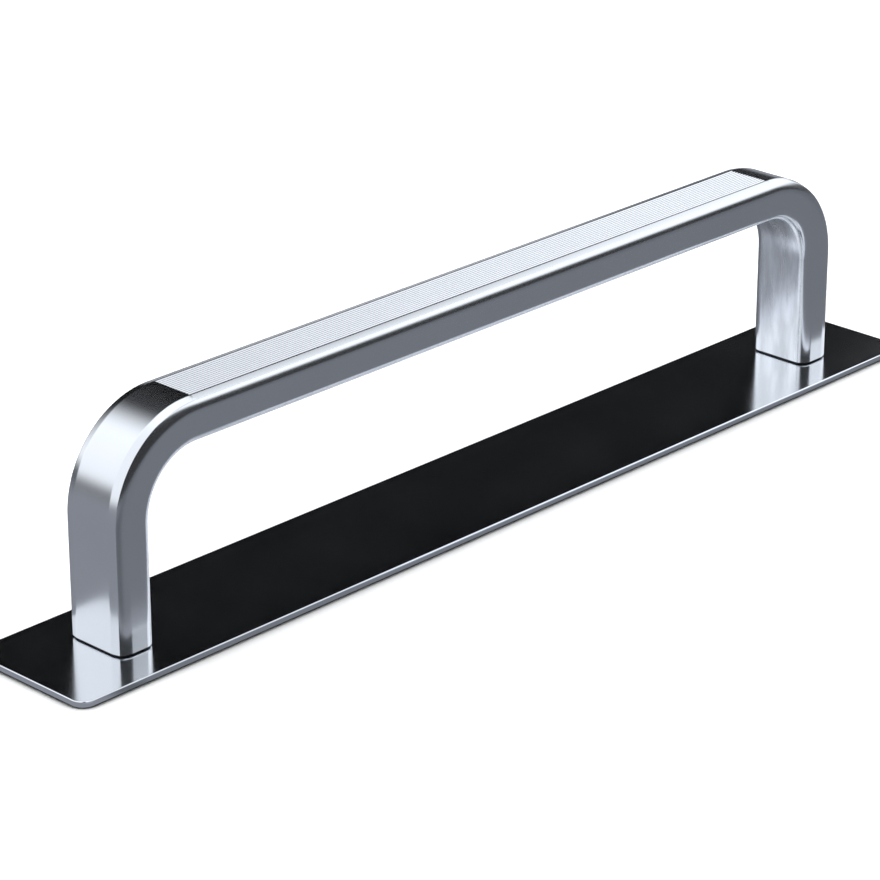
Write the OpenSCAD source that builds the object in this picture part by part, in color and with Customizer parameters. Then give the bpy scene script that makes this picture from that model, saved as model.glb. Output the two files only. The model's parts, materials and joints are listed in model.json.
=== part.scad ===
// Bow cabinet handle standing on a flat backplate.
// X runs along the handle, Y across it and Z away from the door; the origin is under the middle of the plate.

/* [Handle] */
// Distance between the two screw holes, which is also leg centre to leg centre
hole_spacing = 160; // [96:32:320]
// Width of the bow, measured across the handle
bow_w = 12; // [10:0.2:18]
// Thickness of the bow, the same in the bar, the bends and the legs
bow_t = 7.1; // [6:0.1:9]
// Height of the bar's top face over the backplate
handle_h = 36.4; // [28:0.4:48]
// Radius of the inside of each bend
bend_r = 9.7; // [6:0.1:14]
// How far each shoulder reaches in over the outer face
shoulder_reach = 1.85; // [1.2:0.05:2]
// Slope of the facet that each shoulder starts with, in degrees
facet_slope = 15; // [8:1:20]
// Radius of the crease where that facet ends
outer_edge_r = 0.3; // [0.2:0.1:1.2]
// Radius that eases the crease into the side
side_ease_r = 3; // [1.6:0.1:3.4]
// Turn from the outer face at which the crease hands over to that ease, in degrees
ease_turn = 50; // [45:1:70]
// Radius of the two inner edges
inner_edge_r = 2; // [0.6:0.1:2.4]

/* [Ribbed grip] */
// Smooth length left between the end of the ribs and the start of each bend
rib_end_land = 0.1; // [0.1:0.1:10]
// Smooth land left beside the ribs at each shoulder
rib_land = 0.35; // [0.2:0.05:0.6]
// Distance from one rib to the next
rib_pitch = 0.58; // [0.5:0.02:1]
// Width of the flat crest left on each rib
rib_crest = 0.1; // [0.05:0.01:0.2]
// Depth of the grooves between the ribs
rib_depth = 0.2; // [0.1:0.01:0.3]

/* [Feet and screw holes] */
// Height of the shadow step round each foot
foot_step_h = 0.4; // [0.1:0.05:0.6]
// How far the shadow step is set in
foot_step_in = 0.5; // [0.1:0.05:0.5]
// Core diameter of the threaded hole in each leg
thread_core_d = 3.3; // [2.5:0.1:3.8]
// Depth of the threaded hole from the foot
thread_depth = 14; // [8:1:18]
// Width of the lead-in round the mouth of the threaded hole
thread_lead = 0.4; // [0.2:0.05:0.5]

/* [Backplate] */
// How far the plate runs past the outer face of each leg
plate_end_margin = 13.25; // [6:0.25:30]
// How far the plate runs past the bow at the front and at the back
plate_side_margin = 6.5; // [5:0.1:15]
// Thickness of the backplate
plate_t = 1; // [0.8:0.1:3]
// Radius of the plate's corners
plate_corner_r = 2.25; // [1.5:0.25:6]
// Size of the bright bevel round the plate's top rim
plate_bevel = 0.25; // [0.1:0.05:0.6]
// Diameter of the clearance holes for the screws
screw_hole_d = 4.5; // [4.2:0.1:5]

/* [Hidden] */
$fn = 64;
cut = 0.5;

// Places in the bow's section, u across it and v outwards: where the flat ends, and the centres of both arcs
flat_u = bow_w / 2 - shoulder_reach;
ease_u = bow_w / 2 - side_ease_r;
edge_u = ease_u + (side_ease_r - outer_edge_r) * sin(ease_turn);
facet_run = edge_u + outer_edge_r * sin(facet_slope) - flat_u;
edge_v = bow_t - facet_run * tan(facet_slope) - outer_edge_r * cos(facet_slope);
ease_v = edge_v - (side_ease_r - outer_edge_r) * cos(ease_turn);
inner_u = bow_w / 2 - inner_edge_r;

// Outer radius of the bends, and where legs and bar end
outer_r = bend_r + bow_t;
leg_l = handle_h - outer_r;
leg_x = hole_spacing / 2 - bow_t / 2;
bar_l = 2 * (leg_x - bend_r);

// The plate follows the bow's footprint
plate_l = hole_spacing + bow_t + 2 * plate_end_margin;
plate_w = bow_w + 2 * plate_side_margin;

// The ribs fill the flat between the two lands
rib_field_w = bow_w - 2 * shoulder_reach - 2 * rib_land;
rib_count = floor(rib_field_w / rib_pitch);
rib_field_l = bar_l - 2 * rib_end_land;
groove_w = rib_pitch - rib_crest;

// Points on an arc of the section between two turns from the X axis
function arc_points(centre, radius, from, to, steps) = [
    for (i = [0 : steps])
        let(turn = from + (to - from) * i / steps)
            [centre[0] + radius * cos(turn), centre[1] + radius * sin(turn)]
];

// Section of the bow: x runs from the inner face to the outer one, y across the handle
module bow_section() {
    edge = arc_points([edge_v, edge_u], outer_edge_r, facet_slope, ease_turn, 3);
    ease = arc_points([ease_v, ease_u], side_ease_r, ease_turn, 90, 6);
    inner = arc_points([inner_edge_r, inner_u], inner_edge_r, 90, 180, 9);
    half = concat([[bow_t, flat_u]], edge, [for (i = [1 : 6]) ease[i]], inner);
    other = [for (i = [len(half) - 1 : -1 : 0]) [half[i][0], -half[i][1]]];
    polygon(concat(half, other));
}

// Section of the foot below the shadow step, a rounded rectangle set in all round
module foot_section() {
    corner_r = inner_edge_r - foot_step_in;
    half_w = bow_w / 2 - foot_step_in;
    translate([foot_step_in + corner_r, -half_w])
        square([bow_t - 2 * foot_step_in - 2 * corner_r, 2 * half_w]);
    translate([foot_step_in, corner_r - half_w])
        square([bow_t - 2 * foot_step_in, 2 * (half_w - corner_r)]);
    for (v = [foot_step_in + corner_r, bow_t - foot_step_in - corner_r], side = [-1, 1])
        translate([v, side * (half_w - corner_r)])
            circle(r = corner_r);
}

// Leg at the +X end with the shadow step round its foot
module leg() {
    translate([leg_x, 0, 0])
        linear_extrude(foot_step_h)
            foot_section();
    translate([leg_x, 0, foot_step_h])
        linear_extrude(leg_l - foot_step_h)
            bow_section();
}

// Quarter bend that carries the leg's section round into the bar
module bend() {
    translate([leg_x - bend_r, 0, leg_l])
        rotate([90, 0, 0])
            rotate_extrude(angle = 90)
                translate([bend_r, 0])
                    bow_section();
}

module bar() {
    translate([bar_l / 2, 0, handle_h - bow_t])
        rotate([0, -90, 0])
            linear_extrude(bar_l)
                bow_section();
}

// One groove of the grip, a V that leaves the crests flush with the top face
module rib_groove() {
    slope_w = groove_w / 2 * (1 + cut / rib_depth);
    translate([rib_field_l / 2, 0, handle_h])
        rotate([0, -90, 0])
            linear_extrude(rib_field_l)
                polygon([[-rib_depth, 0], [cut, slope_w], [cut, -slope_w]]);
}

module rib_grooves() {
    for (i = [0 : rib_count - 1])
        translate([0, (i - (rib_count - 1) / 2) * rib_pitch, 0])
            rib_groove();
}

// Blind threaded hole up each leg, with a lead-in at its mouth
module thread_hole() {
    translate([0, 0, -cut])
        cylinder(h = thread_depth + cut, d = thread_core_d);
    translate([0, 0, -thread_lead])
        cylinder(h = 2 * thread_lead, r1 = thread_core_d / 2 + 2 * thread_lead, r2 = thread_core_d / 2);
}

module at_both_holes() {
    for (side = [-1, 1])
        translate([side * hole_spacing / 2, 0, 0])
            children();
}

module handle() {
    color("silver")
        translate([0, 0, plate_t])
            difference() {
                union() {
                    bar();
                    for (end = [0, 1])
                        mirror([end, 0, 0]) {
                            bend();
                            leg();
                        }
                }
                rib_grooves();
                at_both_holes()
                    thread_hole();
            }
}

// Prism with a bevelled upper edge on both long sides, lying along X
module bevelled_prism(length, half_w) {
    side_h = plate_t - plate_bevel;
    top_w = half_w - plate_bevel;
    rotate([90, 0, 90])
        linear_extrude(length, center = true)
            polygon([
                [-half_w, 0], [half_w, 0], [half_w, side_h],
                [top_w, plate_t], [-top_w, plate_t], [-half_w, side_h]
            ]);
}

module plate_corner() {
    side_h = plate_t - plate_bevel;
    cylinder(h = side_h, r = plate_corner_r);
    translate([0, 0, side_h])
        cylinder(h = plate_bevel, r1 = plate_corner_r, r2 = plate_corner_r - plate_bevel);
}

module backplate() {
    corner_x = plate_l / 2 - plate_corner_r;
    corner_y = plate_w / 2 - plate_corner_r;
    color("dimgray")
        difference() {
            union() {
                bevelled_prism(2 * corner_x, plate_w / 2);
                rotate(90)
                    bevelled_prism(2 * corner_y, plate_l / 2);
                for (sx = [-1, 1], sy = [-1, 1])
                    translate([sx * corner_x, sy * corner_y, 0])
                        plate_corner();
            }
            at_both_holes()
                translate([0, 0, -cut])
                    cylinder(h = plate_t + 2 * cut, d = screw_hole_d);
        }
}

handle();
backplate();
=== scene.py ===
"""Satin bow handle standing on its bevelled backplate, in a light tent with a white floor."""

import json
import math

import bmesh
import bpy
from mathutils import Matrix, Vector

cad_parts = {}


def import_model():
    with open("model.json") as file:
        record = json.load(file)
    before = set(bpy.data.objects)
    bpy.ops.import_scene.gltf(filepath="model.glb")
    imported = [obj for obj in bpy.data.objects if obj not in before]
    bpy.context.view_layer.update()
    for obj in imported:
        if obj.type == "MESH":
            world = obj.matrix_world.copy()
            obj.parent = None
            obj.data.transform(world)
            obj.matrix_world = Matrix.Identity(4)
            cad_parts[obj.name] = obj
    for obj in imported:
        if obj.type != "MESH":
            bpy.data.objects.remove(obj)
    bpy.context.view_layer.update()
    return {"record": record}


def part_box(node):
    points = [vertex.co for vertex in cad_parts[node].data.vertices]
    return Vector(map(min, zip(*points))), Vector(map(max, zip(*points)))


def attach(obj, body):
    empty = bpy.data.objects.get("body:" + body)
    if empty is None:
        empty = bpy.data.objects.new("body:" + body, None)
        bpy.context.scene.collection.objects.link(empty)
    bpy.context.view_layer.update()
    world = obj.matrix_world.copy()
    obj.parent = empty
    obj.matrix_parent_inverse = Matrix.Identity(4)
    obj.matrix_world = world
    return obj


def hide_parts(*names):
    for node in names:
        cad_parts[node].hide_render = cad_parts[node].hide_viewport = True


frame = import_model()

MM = 0.001

# Sizes read from the frame
HANDLE_LOW, HANDLE_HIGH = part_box("handle")
_, PLATE_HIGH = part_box("backplate")
MOUNTS = {m["name"]: m for m in frame["record"]["mounts"]}
HOLE_X = MOUNTS["plate_hole_right"]["pos_m"][0]
PLATE_HOLE_R = MOUNTS["plate_hole_right"]["dims"]["r_mm"] * MM
CORE_R = MOUNTS["screw_thread_right"]["dims"]["r_mm"] * MM
PLATE_TOP = PLATE_HIGH.z
BOW_W = HANDLE_HIGH.y - HANDLE_LOW.y
BOW_T = 2 * (HANDLE_HIGH.x - HOLE_X)
INNER_X = HOLE_X - BOW_T / 2

# Section of the bow
BEND_R = 9.7 * MM
SHOULDER_REACH = 2.05 * MM
FACET_SLOPE = 15
OUTER_EDGE_R = 0.3 * MM
SIDE_EASE_R = 3 * MM
EASE_TURN = 50
INNER_EDGE_R = 2 * MM
CREASE_R = 0.12 * MM
# Steps of its three arcs
OUTER_EDGE_STEPS = 5
SIDE_EASE_STEPS = 14
INNER_EDGE_STEPS = 18
# Points less deep than this lie on the inner face
INNER_FACE_DEPTH = INNER_EDGE_R / 12

# Steps along the bow
LEG_STEPS = 6
BEND_STEPS = 60
BAR_STEPS = 12

# Ribbed grip
RIB_COUNT = 13
RIB_PITCH = 0.58 * MM
RIB_CREST = 0.1 * MM
RIB_DEPTH = 0.2 * MM
RIB_END_LAND = 0.1 * MM
RIB_RUNOUT = 0.15 * MM
# Each groove as shares of its half width and of its depth
GROOVE_SHAPE = ((-1, 0), (-0.86, 0.11), (-0.12, 0.88), (0.12, 0.88), (0.86, 0.11), (1, 0))

# Feet and threads
STEP_H = 0.26 * MM
STEP_IN = 0.5 * MM
FOOT_ROUND = 0.12 * MM
THREAD_DEPTH = 14 * MM
THREAD_LEAD = 0.4 * MM
THREAD_PITCH = 0.7 * MM
THREAD_RISE = 0.33 * MM
THREAD_SIDES = 40
THREAD_STEPS = 6

# Backplate
CORNER_R = 2.25 * MM
CORNER_STEPS = 16
BEVEL = 0.14 * MM
RIM_ROUND = 0.05 * MM
LOWER_ROUND = 0.2 * MM
HOLE_SIDES = 48
# Lower rim as shares of its rounding: in from the side, and up from the underside
LOWER_SHAPE = ((1, 0), (0.62, 0.08), (0.29, 0.29), (0.08, 0.62), (0, 1))
# The rim's rounding reaches this share of it before a corner of the bevel, and this share past it
ROUND_BEFORE = 0.3
ROUND_PAST = 0.7

# Edges that turn by more than this many degrees stay sharp
SHARP_ANGLE = 32

# Camera, placed by a target on the plate
CAMERA_TARGET = (8.37 * MM, 17.43 * MM, 1 * MM)
CAMERA_DISTANCE = 595.98 * MM
CAMERA_AZIMUTH = -46.307
CAMERA_ELEVATION = 22.974
CAMERA_ROLL = -0.018
CAMERA_LENS = 145.52
SENSOR = 36
CLIP_NEAR = 0.01
CLIP_FAR = 50


def arc(centre, radius, start, stop, steps):
    """Points on an arc from one angle to another in degrees, both ends included."""
    points = []
    for i in range(steps + 1):
        angle = math.radians(start + (stop - start) * i / steps)
        points.append((centre[0] + radius * math.cos(angle), centre[1] + radius * math.sin(angle)))
    return points


def crest_line():
    """Places across the top face and the depth of the ribs there, as a share of the full depth."""
    half = (RIB_PITCH - RIB_CREST) / 2
    line = []
    for i in range(RIB_COUNT):
        middle = (i - (RIB_COUNT - 1) / 2) * RIB_PITCH
        for place, depth in GROOVE_SHAPE:
            line.append((middle + place * half, depth))
    return line


def bow_section(inset, ribs):
    """Closed outline of the bow: across it, and outwards from its inner face."""
    half = BOW_W / 2
    flat = half - SHOULDER_REACH
    slope = math.radians(FACET_SLOPE)
    turn = math.radians(EASE_TURN)
    ease_u = half - SIDE_EASE_R
    edge_u = ease_u + (SIDE_EASE_R - OUTER_EDGE_R) * math.sin(turn)
    run = edge_u + OUTER_EDGE_R * math.sin(slope) - flat
    edge_v = BOW_T - run * math.tan(slope) - OUTER_EDGE_R * math.cos(slope)
    ease_v = edge_v - (SIDE_EASE_R - OUTER_EDGE_R) * math.cos(turn)
    inner = (half - INNER_EDGE_R, INNER_EDGE_R)
    right = [(flat - CREASE_R, BOW_T)]
    right.append((flat + CREASE_R * math.cos(slope), BOW_T - CREASE_R * math.sin(slope)))
    right += arc((edge_u, edge_v), OUTER_EDGE_R, 90 - FACET_SLOPE, 90 - EASE_TURN, OUTER_EDGE_STEPS)
    right += arc((ease_u, ease_v), SIDE_EASE_R, 90 - EASE_TURN, 0, SIDE_EASE_STEPS)[1:]
    right += arc(inner, INNER_EDGE_R, 0, -90, INNER_EDGE_STEPS)
    top = [(u, BOW_T - ribs * depth * RIB_DEPTH) for u, depth in crest_line()]
    left = [(-u, v) for u, v in reversed(right)]
    outline = top + right + left
    if inset:
        outline = [shrink(point, inset) for point in outline]
    return outline


def shrink(point, inset):
    """Moves a point of the section inwards on both axes, which keeps the outline closed."""
    u, v = point
    middle = BOW_T / 2
    u *= 1 - inset / (BOW_W / 2)
    v = middle + (v - middle) * (1 - inset / middle)
    return u, v


def bow_stations():
    """Rings of the right half, from foot to middle: inner face point, outward direction, inset, ribs."""
    bend_centre = Vector((INNER_X - BEND_R, 0, HANDLE_HIGH.z - BOW_T - BEND_R))
    out = Vector((1, 0, 0))
    foot = PLATE_TOP
    rings = [(Vector((INNER_X, 0, foot)), out, STEP_IN, 0)]
    rings.append((Vector((INNER_X, 0, foot + STEP_H)), out, STEP_IN, 0))
    rings.append((Vector((INNER_X, 0, foot + STEP_H)), out, FOOT_ROUND, 0))
    leg_start = foot + STEP_H + FOOT_ROUND
    for i in range(LEG_STEPS):
        z = leg_start + (bend_centre.z - leg_start) * i / LEG_STEPS
        rings.append((Vector((INNER_X, 0, z)), out, 0, 0))
    for i in range(BEND_STEPS + 1):
        angle = math.radians(90 * i / BEND_STEPS)
        turned = Vector((math.cos(angle), 0, math.sin(angle)))
        rings.append((bend_centre + turned * BEND_R, turned, 0, 0))
    up = Vector((0, 0, 1))
    bar_z = bend_centre.z + BEND_R
    rib_end = bend_centre.x - RIB_END_LAND
    rings.append((Vector((rib_end, 0, bar_z)), up, 0, 0))
    bar_start = rib_end - RIB_RUNOUT
    for i in range(BAR_STEPS):
        rings.append((Vector((bar_start * (1 - i / BAR_STEPS), 0, bar_z)), up, 0, 1))
    return rings


def mirrored(rings):
    """The whole bow from the left foot to the right one."""
    flip = Vector((-1, 1, 1))
    left = [(point * flip, out * flip, inset, ribs) for point, out, inset, ribs in rings]
    middle = (Vector((0, 0, rings[-1][0].z)), Vector((0, 0, 1)), 0, 1)
    return left + [middle] + rings[::-1]


def skin(bm, loops):
    """Quads between neighbouring closed loops of equal length."""
    for lower, upper in zip(loops, loops[1:]):
        count = len(lower)
        for i in range(count):
            j = (i + 1) % count
            bm.faces.new((lower[i], lower[j], upper[j], upper[i]))


def loop_edges(bm, loop):
    """The closed chain of edges round a loop."""
    edges = []
    for a, b in zip(loop, loop[1:] + loop[:1]):
        edge = bm.edges.get((a, b)) or bm.edges.new((a, b))
        edges.append(edge)
    return edges


def fill_between(bm, loops):
    """Flat face over the area between the loops."""
    edges = []
    for loop in loops:
        edges += loop_edges(bm, loop)
    bmesh.ops.triangle_fill(bm, edges=edges, use_beauty=True)


def circle_loop(bm, centre_x, z, radius, sides):
    """Ring of vertices round a hole's axis."""
    loop = []
    for i in range(sides):
        angle = 2 * math.pi * i / sides
        loop.append(bm.verts.new((centre_x + radius * math.cos(angle), radius * math.sin(angle), z)))
    return loop


def thread_loops(bm, centre_x):
    """Wall of the threaded hole, from its mouth to its blind end, with a real helix."""
    loops = [circle_loop(bm, centre_x, PLATE_TOP, CORE_R + THREAD_LEAD, THREAD_SIDES)]
    turns = (THREAD_DEPTH - THREAD_LEAD) / THREAD_PITCH
    steps = int(turns * THREAD_STEPS)
    for k in range(steps + 1):
        z = PLATE_TOP + THREAD_LEAD + THREAD_PITCH * k / THREAD_STEPS
        fade = min(1, (steps - k) / THREAD_STEPS)
        loop = []
        for i in range(THREAD_SIDES):
            share = i / THREAD_SIDES
            phase = (k / THREAD_STEPS - share) % 1
            rise = THREAD_RISE * fade * (1 - abs(2 * phase - 1))
            angle = 2 * math.pi * share
            radius = CORE_R + rise
            loop.append(bm.verts.new((centre_x + radius * math.cos(angle), radius * math.sin(angle), z)))
        loops.append(loop)
    return loops


def perimeter(outline):
    """Distance along the outline to each of its points."""
    distances = [0]
    for a, b in zip(outline, outline[1:]):
        distances.append(distances[-1] + math.dist(a, b))
    return distances


def add_object(name, bm):
    """Puts the bmesh into the scene as an object."""
    mesh = bpy.data.meshes.new(name)
    bm.to_mesh(mesh)
    bm.free()
    thing = bpy.data.objects.new(name, mesh)
    bpy.context.scene.collection.objects.link(thing)
    return thing


def finish_mesh(name, bm, body="root"):
    """Turns the bmesh into a smooth shaded object that rides on the body."""
    bmesh.ops.recalc_face_normals(bm, faces=bm.faces)
    piece = add_object(name, bm)
    piece.data.shade_smooth()
    piece.data.set_sharp_from_angle(angle=math.radians(SHARP_ANGLE))
    weighted = piece.modifiers.new("weighted normals", "WEIGHTED_NORMAL")
    weighted.keep_sharp = True
    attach(piece, body)
    return piece


def build_bow():
    """The handle: section swept along both legs, both bends and the bar, with threaded feet."""
    bm = bmesh.new()
    uv_layer = bm.loops.layers.uv.new("grain")
    inner_layer = bm.verts.layers.float.new("inner_face")
    recess_layer = bm.verts.layers.float.new("recess")
    around = perimeter(bow_section(0, 0))
    loops = []
    travel = 0
    uv_of = {}
    last = None
    for point, out, inset, ribs in mirrored(bow_stations()):
        middle = point + out * BOW_T / 2
        travel += (middle - last).length if last else 0
        last = middle
        loop = []
        for place, (u, v) in zip(around, bow_section(inset, ribs)):
            vert = bm.verts.new(point + out * v + Vector((0, u, 0)))
            vert[inner_layer] = 1 if v < INNER_FACE_DEPTH else 0
            vert[recess_layer] = 1 if inset == STEP_IN else 0
            uv_of[vert] = (travel, place)
            loop.append(vert)
        loops.append(loop)
    skin(bm, loops)
    for side, foot in ((-1, loops[0]), (1, loops[-1])):
        wall = thread_loops(bm, side * HOLE_X)
        skin(bm, wall)
        bm.faces.new(wall[-1])
        fill_between(bm, [foot, wall[0]])
    for face in bm.faces:
        for corner in face.loops:
            co = corner.vert.co
            corner[uv_layer].uv = uv_of.get(corner.vert, (co.x + co.z, co.y))
    bow = finish_mesh("handle_bow", bm)
    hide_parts("handle")
    return bow


def rounded_rectangle(bm, inset, z):
    """Loop of the plate's outline at one height."""
    half_x = PLATE_HIGH.x - inset
    half_y = PLATE_HIGH.y - inset
    radius = CORNER_R - inset
    loop = []
    for quarter, (sx, sy) in enumerate(((1, 1), (-1, 1), (-1, -1), (1, -1))):
        centre = (sx * (half_x - radius), sy * (half_y - radius))
        for x, y in arc(centre, radius, 90 * quarter, 90 * quarter + 90, CORNER_STEPS):
            loop.append(bm.verts.new((x, y, z)))
    return loop


def build_plate():
    """The backplate: bevelled rim with softened edges, and a hole under each leg."""
    bm = bmesh.new()
    side_top = PLATE_TOP - BEVEL
    before = RIM_ROUND * ROUND_BEFORE
    past = RIM_ROUND * ROUND_PAST
    steps = [(LOWER_ROUND * inset, LOWER_ROUND * rise) for inset, rise in LOWER_SHAPE]
    steps += [
        (0, side_top - RIM_ROUND),
        (before, side_top + past),
        (BEVEL - RIM_ROUND, PLATE_TOP - RIM_ROUND),
        (BEVEL - before, PLATE_TOP - before),
        (BEVEL + past, PLATE_TOP),
    ]
    loops = [rounded_rectangle(bm, inset, z) for inset, z in steps]
    skin(bm, loops)
    lower, upper = [loops[0]], [loops[-1]]
    for x in (-HOLE_X, HOLE_X):
        wall = [circle_loop(bm, x, z, PLATE_HOLE_R, HOLE_SIDES) for z in (0, PLATE_TOP)]
        skin(bm, wall)
        lower.append(wall[0])
        upper.append(wall[1])
    fill_between(bm, lower)
    fill_between(bm, upper)
    plate = finish_mesh("back_plate", bm)
    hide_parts("backplate")
    return plate


class Nodes:
    """Short way to add and wire shader nodes."""

    def __init__(self, tree):
        self.tree = tree
        tree.nodes.clear()

    def add(self, kind, inputs=None, **settings):
        """New node, with each input wired to a socket or set to a plain value."""
        node = self.tree.nodes.new(kind)
        for key, value in settings.items():
            setattr(node, key, value)
        for key, value in (inputs or {}).items():
            if isinstance(value, bpy.types.NodeSocket):
                self.tree.links.new(value, node.inputs[key])
            else:
                node.inputs[key].default_value = value
        return node

    def math(self, operation, *values):
        return self.add("ShaderNodeMath", dict(enumerate(values)), operation=operation).outputs[0]

    def product(self, first, *others):
        for value in others:
            first = self.math("MULTIPLY", first, value)
        return first

    def spread(self, value, low, high, start, stop, curve="LINEAR"):
        """Start at the low end of the value's range, stop at the high end, held beyond both."""
        ends = {"Value": value, "From Min": low, "From Max": high, "To Min": start, "To Max": stop}
        return self.add("ShaderNodeMapRange", ends, interpolation_type=curve).outputs["Result"]

    def smooth(self, value, low, high, start=0.0, stop=1.0):
        return self.spread(value, low, high, start, stop, "SMOOTHSTEP")

    def between(self, value, rise, fall):
        """1 between two soft borders and 0 outside them."""
        return self.product(self.smooth(value, *rise), self.smooth(value, *fall, 1, 0))

    def hump(self, value, middle, reach, height):
        """Soft hump of this height at the middle, which is flat again at its reach."""
        away = self.math("DIVIDE", self.math("SUBTRACT", value, middle), reach)
        return self.smooth(self.product(away, away), 0, 1, height, 0)

    def blend(self, share, first, second):
        """First value where the share is 0, second where it is 1."""
        change = self.product(share, self.math("SUBTRACT", second, first))
        return self.math("ADD", first, change)

    def place(self):
        """Place on the object, in metres."""
        return self.add("ShaderNodeTexCoord").outputs["Object"]

    def directions(self):
        """Azimuth from +X and elevation, in degrees, as seen from the object's origin."""
        toward = self.add("ShaderNodeVectorMath", {0: self.place()}, operation="NORMALIZE").outputs[0]
        parts = self.add("ShaderNodeSeparateXYZ", {0: toward}).outputs
        azimuth = self.math("DEGREES", self.math("ARCTAN2", parts["Y"], parts["X"]))
        elevation = self.math("DEGREES", self.math("ARCSINE", parts["Z"]))
        return azimuth, elevation

    def carried(self, name):
        """Value that the mesh carries under this name."""
        return self.add("ShaderNodeAttribute", attribute_name=name).outputs["Fac"]

    def noise(self, vector, scale, detail, stretch=None):
        if stretch:
            vector = self.add("ShaderNodeMapping", {"Vector": vector, "Scale": stretch}).outputs["Vector"]
        inputs = {"Vector": vector, "Scale": scale, "Detail": detail}
        return self.add("ShaderNodeTexNoise", inputs).outputs["Fac"]

    def bump(self, height, strength, distance, normal=None):
        inputs = {"Height": height, "Strength": strength, "Distance": distance}
        if normal:
            inputs["Normal"] = normal
        return self.add("ShaderNodeBump", inputs).outputs["Normal"]

    def mix(self, kind, share, first, second):
        """Colour that the share takes from the first to the second."""
        inputs = {"Fac": share, "Color1": first, "Color2": second}
        return self.add("ShaderNodeMixRGB", inputs, blend_type=kind).outputs["Color"]

    def surface(self, shader, kind="ShaderNodeOutputMaterial"):
        self.add(kind, {"Surface": shader})

    def metal(self, colour, roughness, normal):
        inputs = {"Metallic": 1, "Base Color": colour, "Roughness": roughness, "Normal": normal}
        self.surface(self.add("ShaderNodeBsdfPrincipled", inputs).outputs["BSDF"])

    def glow(self, colour, level):
        light = self.add("ShaderNodeEmission", {"Color": colour, "Strength": level})
        self.surface(light.outputs["Emission"])


def new_material(name):
    material = bpy.data.materials.new(name)
    material.use_nodes = True
    return material, Nodes(material.node_tree)


# Metals: two tones that drift into each other, and the roughness, which drifts by the last number
BOW_TONES = ((0.735, 0.757, 0.782, 1), (0.79, 0.808, 0.828, 1))
PLATE_TONES = ((0.76, 0.782, 0.81, 1), (0.81, 0.83, 0.855, 1))
BOW_ROUGH = 0.165
PLATE_ROUGH = 0.12
ROUGH_DRIFT = 0.05
# Painted shade: a dark colour on the shadow step at each foot, and the roughness it adds there
STEP_SHADE_COLOUR = (0.11, 0.115, 0.125, 1)
STEP_SHADE_ROUGH = 0.5
# How far polishing strokes darken and brighten the inner faces, and how much rougher streaks make them
STROKE_TONES = (0.93, 1.2)
STREAK_ROUGH = (0.03, 0.09)
# Range of the noise that strokes and streaks use
STROKE_RANGE = (0.3, 0.7)
STREAK_RANGE = (0.35, 0.65)
# Noise scales per metre; strokes and streaks run along the bow, the rolling marks along the plate
BOW_CLOUDS = 90
BOW_MOTTLE = 260
BOW_GRAIN = 7000
STREAK_STRETCH = (40, 800, 1)
STROKE_STRETCH = (110, 520, 1)
PLATE_CLOUDS = 70
PLATE_GRAIN = 6000
ROLLED_STRETCH = (120, 5200, 5200)
# Strength and height of the fine bumps
GRAIN_BUMP = (0.015, 0.02 * MM)
ROLLED_BUMP = (0.02, 0.02 * MM)
MARK_BUMP = (0.35, 0.06 * MM)
# Share of the streaks in the marks on the inner faces, and the marks' mean, which is taken off them
STREAK_SHARE = 0.5
MARK_MEAN = 0.75


def bow_metal():
    """Satin plated metal: fine blasted grain, and soft polishing marks on the rougher inner faces."""
    material, n = new_material("satin bow metal")
    place = n.place()
    along = n.add("ShaderNodeUVMap", uv_map="grain").outputs["UV"]
    inner = n.carried("inner_face")
    recess = n.carried("recess")
    clouds = n.noise(place, BOW_CLOUDS, 3)
    streaks = n.noise(along, 1, 3, STREAK_STRETCH)
    strokes = n.noise(along, 1, 2, STROKE_STRETCH)
    mottle = n.noise(place, BOW_MOTTLE, 3)
    grain = n.noise(place, BOW_GRAIN, 2)
    tone = n.mix("MIX", clouds, *BOW_TONES)
    brushed = n.mix("MULTIPLY", inner, tone, n.smooth(strokes, *STROKE_RANGE, *STROKE_TONES))
    colour = n.mix("MIX", recess, brushed, STEP_SHADE_COLOUR)
    rough = n.math("MULTIPLY_ADD", clouds, ROUGH_DRIFT, BOW_ROUGH)
    # Painted shade: the shadow step at each foot takes a dark colour
    inner_rough = n.product(inner, n.smooth(streaks, *STREAK_RANGE, *STREAK_ROUGH))
    rough = n.math("ADD", n.math("ADD", rough, inner_rough), n.product(recess, STEP_SHADE_ROUGH))
    marks = n.math("ADD", n.product(streaks, STREAK_SHARE), n.math("SUBTRACT", mottle, MARK_MEAN))
    normal = n.bump(grain, *GRAIN_BUMP)
    normal = n.bump(n.product(marks, inner), *MARK_BUMP, normal)
    n.metal(colour, rough, normal)
    return material


def plate_metal():
    """Satin sheet steel, rolled along its length."""
    material, n = new_material("satin plate metal")
    place = n.place()
    clouds = n.noise(place, PLATE_CLOUDS, 3)
    rolled = n.noise(place, 1, 2, ROLLED_STRETCH)
    grain = n.noise(place, PLATE_GRAIN, 2)
    rough = n.math("MULTIPLY_ADD", clouds, ROUGH_DRIFT, PLATE_ROUGH)
    normal = n.bump(rolled, *ROLLED_BUMP, n.bump(grain, *GRAIN_BUMP))
    n.metal(n.mix("MIX", clouds, *PLATE_TONES), rough, normal)
    return material


# Light tent: its radius in metres and its tint
TENT_RADIUS = 4.0
TENT_TINT = (0.955, 0.985, 1.04, 1)
# Light of the tent's wall, of its top, of its dark openings and below its lower edge
WALL_LEVEL = 1.4
TOP_LEVEL = 1.02
WALL_LEFT = 1.15
DARK_FRONT = 0.045
DARK_BACK = 0.005
LOW_LEFT = 0.25
LOW_RIGHT = 0.09
LOW_WINDOW = 0.8
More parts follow.
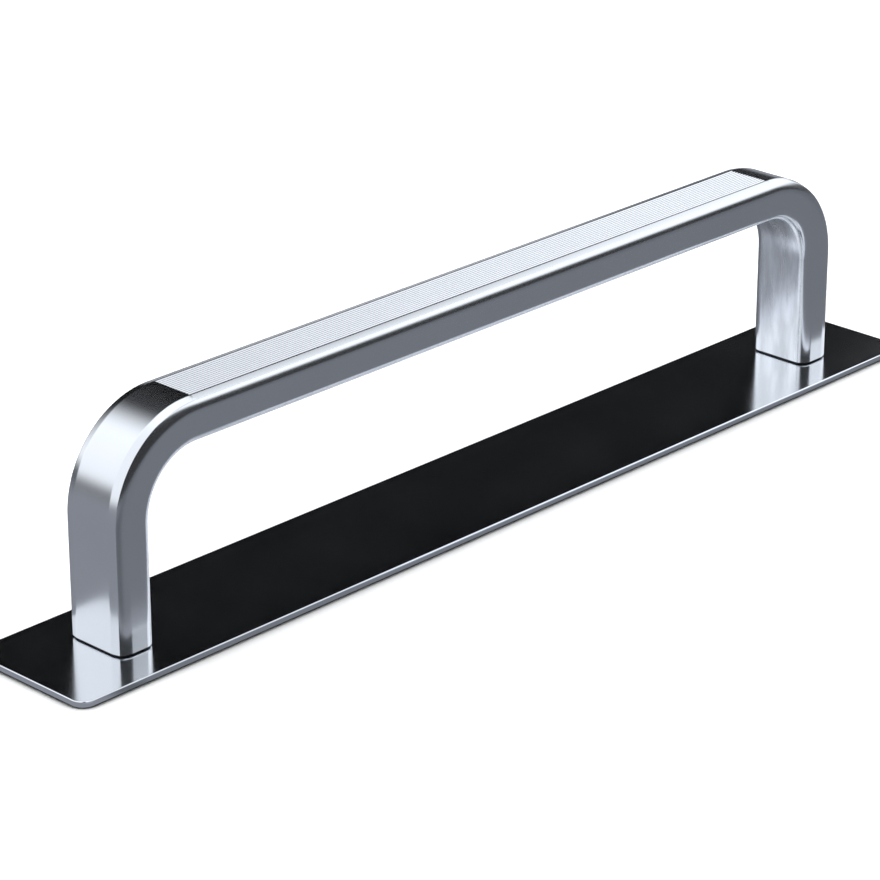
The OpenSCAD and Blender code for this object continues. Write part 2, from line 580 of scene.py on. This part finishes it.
# Borders of these in degrees of azimuth or elevation, each a pair where the border starts and ends
TOP_EDGE = (40, 52)
TOP_SIDES = ((-75, -55), (15, 35))
LEFT_SIDE = (95, 150)
LOWER_EDGE = (4, 14)
FRONT_SIDE = (-164, -148)
FRONT_EDGE = (-24, -12)
BACK_SIDES = ((25, 35), (73, 113))
BACK_EDGE = (25, 33)
SILL_EDGE = (-5, 5)
SILL_SIDE = (55, 65)
WINDOW_SIDES = ((43, 46), (52, 58))
WINDOW_EDGE = (3, 8)
# The lower edge swings by this many degrees and is highest at this azimuth
LOWER_SWING = 6
LOWER_SWING_AT = -35
# Its humps: azimuth of the middle, reach and height
LOWER_HUMPS = ((130, 28, 6.5), (24, 30, -11))
# Slope of the front opening's upper edge and of the back opening's
FRONT_SLANT = 0.9
BACK_SLANT = 0.33


def tent():
    """Light tent with an opening in front and one behind, seen only as reflection and light."""
    bm = bmesh.new()
    bmesh.ops.create_icosphere(bm, subdivisions=3, radius=TENT_RADIUS)
    dome = add_object("light_tent", bm)
    material, n = new_material("tent light")
    azimuth, elevation = n.directions()
    top = n.product(n.smooth(elevation, *TOP_EDGE), n.between(azimuth, *TOP_SIDES))
    left = n.smooth(n.math("ABSOLUTE", azimuth), *LEFT_SIDE)
    wall = n.blend(left, n.blend(top, WALL_LEVEL, TOP_LEVEL), WALL_LEFT)
    below = n.blend(left, LOW_RIGHT, LOW_LEFT)
    swing = n.math("COSINE", n.math("RADIANS", n.math("SUBTRACT", azimuth, LOWER_SWING_AT)))
    edge = n.product(swing, LOWER_SWING)
    for hump in LOWER_HUMPS:
        edge = n.math("ADD", edge, n.hump(azimuth, *hump))
    level = n.blend(n.smooth(n.math("SUBTRACT", elevation, edge), *LOWER_EDGE), below, wall)
    slant = n.math("ADD", n.product(azimuth, FRONT_SLANT), elevation)
    front = n.product(n.smooth(azimuth, *FRONT_SIDE), n.smooth(slant, *FRONT_EDGE, 1, 0))
    level = n.blend(front, level, DARK_FRONT)
    roof = n.math("SUBTRACT", elevation, n.product(azimuth, BACK_SLANT))
    sill = n.math("MAXIMUM", n.smooth(elevation, *SILL_EDGE), n.smooth(azimuth, *SILL_SIDE))
    back = n.product(n.between(azimuth, *BACK_SIDES), n.smooth(roof, *BACK_EDGE, 1, 0), sill)
    level = n.blend(back, level, DARK_BACK)
    window = n.product(n.between(azimuth, *WINDOW_SIDES), n.smooth(elevation, *WINDOW_EDGE, 1, 0))
    n.glow(TENT_TINT, n.blend(window, level, LOW_WINDOW))
    dome.data.materials.append(material)
    material.cycles.emission_sampling = "NONE"
    dome.visible_camera = False


# Floor, and a glowing sheet of painted reflections, as round sheets just inside the tent
SHEET_RADIUS = TENT_RADIUS * 0.98
SHEET_SIDES = 96
FLOOR_Z = -0.01 * MM
REFLECTION_CARD_Z = 0.01 * MM


def disc(name, z):
    """Flat round sheet at one height."""
    bm = bmesh.new()
    bmesh.ops.create_circle(bm, cap_ends=True, segments=SHEET_SIDES, radius=SHEET_RADIUS)
    sheet = add_object(name, bm)
    sheet.location.z = z
    return sheet


# Floor: as camera and metal see it, and as it lights the object
FLOOR_WHITE = (1.75, 1.72, 1.64, 1)
FLOOR_PLAIN = (0.8, 0.8, 0.8, 1)
# Contact shade: how far it reaches, the openness at which it starts and ends, and its darkest
SHADE_REACH = 3 * MM
SHADE_RANGE = (0.66, 0.92)
SHADE_DARKEST = 0.02
SHADE_SAMPLES = 6


def floor():
    """White floor that keeps the soft shadow."""
    sheet = disc("floor", FLOOR_Z)
    material, n = new_material("white floor")
    path = n.add("ShaderNodeLightPath").outputs
    seen = n.math("MAXIMUM", path["Is Camera Ray"], path["Is Glossy Ray"])
    seen = n.math("MAXIMUM", seen, path["Is Transmission Ray"])
    corner = n.add("ShaderNodeAmbientOcclusion", {"Distance": SHADE_REACH}, samples=SHADE_SAMPLES)
    contact = n.spread(corner.outputs["AO"], *SHADE_RANGE, SHADE_DARKEST, 1)
    shade = n.mix("MULTIPLY", 1, FLOOR_WHITE, contact)
    tone = n.mix("MIX", seen, FLOOR_PLAIN, shade)
    n.surface(n.add("ShaderNodeBsdfDiffuse", {"Color": tone}).outputs["BSDF"])
    sheet.data.materials.append(material)


# Painted reflection: a glowing grey sheet that the metal mirrors as if it were a table
REFLECTION_TINT = (0.93, 0.985, 1.12, 1)
# Its light near the plate, on its bright strips and its dim one, and far off
REFLECTION_LEFT = 0.3
REFLECTION_CORNER = 0.145
REFLECTION_FRONT = 0.215
REFLECTION_BACK = 0.34
REFLECTION_BRIGHT = 1.1
REFLECTION_DIM = 0.17
FAR_FRONT = 0.18
FAR_RIGHT = 0.35
FAR_BACK = 0.03
# Near corner of the left foot, and borders in degrees round it
FOOT_CORNER = (HANDLE_HIGH.x / MM, (BOW_W / 2 - STEP_IN) / MM)
CORNER_SIDES = ((-142, -120), (60, 110))
CORNER_FADE = (-112, -85)
# Borders of the lights near the plate, in millimetres along X and Y
BEHIND_X = (-20, 20)
BEHIND_Y = (8, 16)
BACK_END_Y = (50, 75)
FRONT_STRIP_X = (-45, -25)
FRONT_STRIP_Y = ((-22, -16), (-14.5, -13.5))
BACK_STRIP_X = (-5, 15)
BACK_STRIP_Y = ((12, 13), (17, 21))
STRIPS_END_X = (78, 88)
DIM_X = ((58, 70), (96, 110))
DIM_Y = (8, 12)
# Share of its light that the front strip keeps at its left
FRONT_STRIP_LEFT = 0.15
# Where the back strip narrows, and by how much
NARROWING_X = (54, 70)
NARROWING = 6
# Borders of the far sides in degrees of azimuth, and where the sheet counts as far, in millimetres
RIGHT_SECTOR = ((4, 20), (52, 60))
BACK_SECTOR = ((52, 60), (100, 125))
LEFT_SECTOR = (115, 150)
FAR_FROM = (120, 300)


def reflection_card():
    """Glowing grey sheet of painted reflections, which the metal mirrors as if from a table, unseen by
    the camera.
    """
    card = disc("reflection_card", REFLECTION_CARD_Z)
    material, n = new_material("painted reflection grey")
    azimuth, _ = n.directions()
    place = n.add("ShaderNodeVectorMath", {0: n.place(), "Scale": 1 / MM}, operation="SCALE").outputs[0]
    parts = n.add("ShaderNodeSeparateXYZ", {0: place}).outputs
    x, y = parts["X"], parts["Y"]
    away = n.add("ShaderNodeVectorMath", {0: place}, operation="LENGTH").outputs["Value"]
    corner_x, corner_y = FOOT_CORNER
    from_corner = (n.math("ADD", y, corner_y), n.math("ADD", x, corner_x))
    round_foot = n.math("DEGREES", n.math("ARCTAN2", *from_corner))
    in_front = n.smooth(round_foot, *CORNER_FADE, REFLECTION_CORNER, REFLECTION_FRONT)
    near = n.blend(n.between(round_foot, *CORNER_SIDES), REFLECTION_LEFT, in_front)
    behind = n.product(n.smooth(y, *BEHIND_Y), n.smooth(x, *BEHIND_X))
    near = n.blend(behind, near, n.smooth(y, *BACK_END_Y, REFLECTION_BACK, FAR_BACK))
    dim = n.product(n.between(x, *DIM_X), n.smooth(y, *DIM_Y))
    near = n.blend(dim, near, REFLECTION_DIM)
    front_strip = n.smooth(x, *FRONT_STRIP_X, FRONT_STRIP_LEFT, 1)
    front_strip = n.product(n.between(y, *FRONT_STRIP_Y), front_strip)
    slanted = n.math("ADD", y, n.smooth(x, *NARROWING_X, 0, NARROWING))
    rise, fall = BACK_STRIP_Y
    back_strip = n.product(n.smooth(y, *rise), n.smooth(slanted, *fall, 1, 0), n.smooth(x, *BACK_STRIP_X))
    strips = n.product(n.math("ADD", front_strip, back_strip), n.smooth(x, *STRIPS_END_X, 1, 0))
    near = n.blend(strips, near, REFLECTION_BRIGHT)
    far = n.blend(n.smooth(n.math("ABSOLUTE", azimuth), *LEFT_SECTOR), FAR_FRONT, REFLECTION_LEFT)
    far = n.blend(n.between(azimuth, *RIGHT_SECTOR), far, FAR_RIGHT)
    far = n.blend(n.between(azimuth, *BACK_SECTOR), far, FAR_BACK)
    # Painted reflection: the sheet glows at these levels, which put bright strips and dim patches into
    # the metal's reflections
    n.glow(REFLECTION_TINT, n.blend(n.smooth(away, *FAR_FROM), near, far))
    card.data.materials.append(material)
    material.cycles.emission_sampling = "NONE"
    card.visible_camera = False
    card.visible_diffuse = False
    card.visible_shadow = False
    card.visible_transmission = False


def world():
    """Plain white behind everything."""
    scene_world = bpy.data.worlds.new("white world")
    bpy.context.scene.world = scene_world
    scene_world.use_nodes = True
    n = Nodes(scene_world.node_tree)
    background = n.add("ShaderNodeBackground", {"Color": (1, 1, 1, 1), "Strength": 1})
    n.surface(background.outputs["Background"], "ShaderNodeOutputWorld")


def camera():
    """Camera at the photograph's angle."""
    azimuth = math.radians(CAMERA_AZIMUTH)
    elevation = math.radians(CAMERA_ELEVATION)
    roll = math.radians(CAMERA_ROLL)
    back = Vector((
        math.sin(azimuth) * math.cos(elevation),
        -math.cos(azimuth) * math.cos(elevation),
        math.sin(elevation),
    ))
    right = Vector((math.cos(azimuth), math.sin(azimuth), 0))
    up = back.cross(right)
    turned_right = right * math.cos(roll) + up * math.sin(roll)
    turned_up = up * math.cos(roll) - right * math.sin(roll)
    data = bpy.data.cameras.new("camera")
    data.lens = CAMERA_LENS
    data.sensor_width = SENSOR
    data.clip_start = CLIP_NEAR
    data.clip_end = CLIP_FAR
    view = bpy.data.objects.new("camera", data)
    matrix = Matrix((turned_right, turned_up, back)).transposed().to_4x4()
    matrix.translation = Vector(CAMERA_TARGET) + back * CAMERA_DISTANCE
    view.matrix_world = matrix
    bpy.context.scene.collection.objects.link(view)
    bpy.context.scene.camera = view


bow = build_bow()
bow.data.materials.append(bow_metal())
plate = build_plate()
plate.data.materials.append(plate_metal())
world()
tent()
floor()
reflection_card()
camera()
bpy.context.scene.view_settings.view_transform = "Standard"
